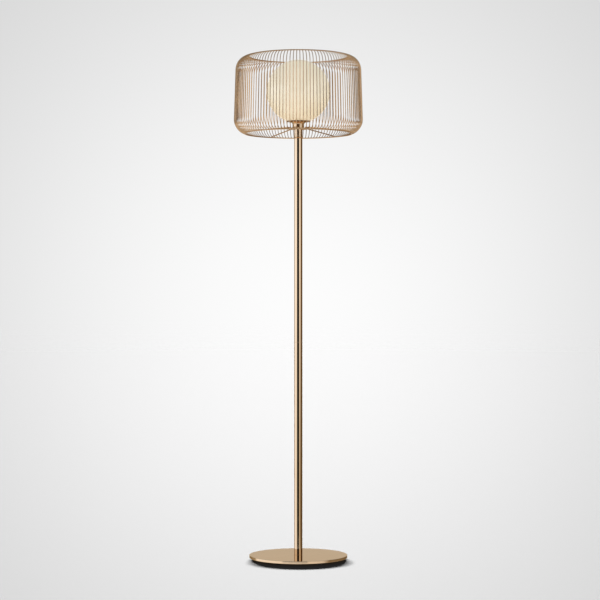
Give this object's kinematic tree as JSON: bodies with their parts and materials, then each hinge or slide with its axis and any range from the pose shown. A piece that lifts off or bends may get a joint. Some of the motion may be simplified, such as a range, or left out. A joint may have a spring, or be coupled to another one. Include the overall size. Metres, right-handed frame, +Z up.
{
  "type": "wire cage floor lamp",
  "caption": "Floor lamp with a thin round base, a slim straight pole, and an opal globe inside a drum-shaped cage of fine bent wires.",
  "frame": {"origin": "on the floor, on the lamp's own axis", "axes": "+Z up along the pole, +Y towards the back, where the cord outlet is"},
  "size_m": [0.4, 0.4, 1.5657],
  "materials": {
    "plated_steel": "polished French gold plating over steel",
    "plated_wire": "copper gold plating over drawn wire",
    "plated_brass": "polished gold plating over turned brass",
    "opal_glass": "opal, gloss",
    "zinc_steel": "bright zinc plating",
    "black_rubber": "matt",
    "clear_silicone": "translucent, satin",
    "white_thermoset": "satin",
    "holder_ceramic": "glazed",
    "spring_brass": "bright, unplated",
    "nickel_brass": "nickel plating",
    "bulb_plastic": "gloss",
    "bulb_diffuser": "frosted",
    "lead_sheath": "satin"
  },
  "bodies": {
    "lamp": {"base_plate": "plated_steel", "base_feet": "black_rubber", "base_washer": "zinc_steel", "lock_washer": "zinc_steel", "base_bolt": "zinc_steel", "foot_plug": "zinc_steel", "pole_lower": "plated_steel", "cord_bushing": "black_rubber", "joint_bush_lower": "zinc_steel", "joint_bush_upper": "zinc_steel", "joint_nipple": "zinc_steel", "pole_upper": "plated_steel", "pole_top_bush": "zinc_steel", "stem_nipple": "zinc_steel", "coupling_sleeve": "plated_brass", "stem_nut": "zinc_steel", "neck_cup": "plated_brass", "gallery_plate": "plated_steel", "gallery_gasket": "clear_silicone", "globe_springs": "spring_brass", "spring_rivets": "spring_brass", "holder_cap": "white_thermoset", "holder_insert": "holder_ceramic", "holder_body": "white_thermoset", "screw_shell": "spring_brass", "centre_contact": "spring_brass", "inner_lead": "lead_sheath", "spider_hub": "plated_steel", "bottom_ring": "plated_wire", "top_ring": "plated_wire", "spider_arms": "plated_wire", "cage_wires": "plated_wire"},
    "globe": {"globe": "opal_glass"},
    "bulb": {"bulb_tip": "nickel_brass", "bulb_cap": "nickel_brass", "bulb_housing": "bulb_plastic", "bulb_dome": "bulb_diffuser"}
  },
  "joints": [
    {"name": "globe_lift", "type": "slide", "parent": "lamp", "child": "globe", "axis": [0, 0, 1], "range_m": [0, 0.22]},
    {"name": "bulb_turn", "type": "hinge", "parent": "lamp", "child": "bulb", "pos_m": [0, 0, 1.4], "axis": [0, 0, 1], "continuous": true}
  ]
}
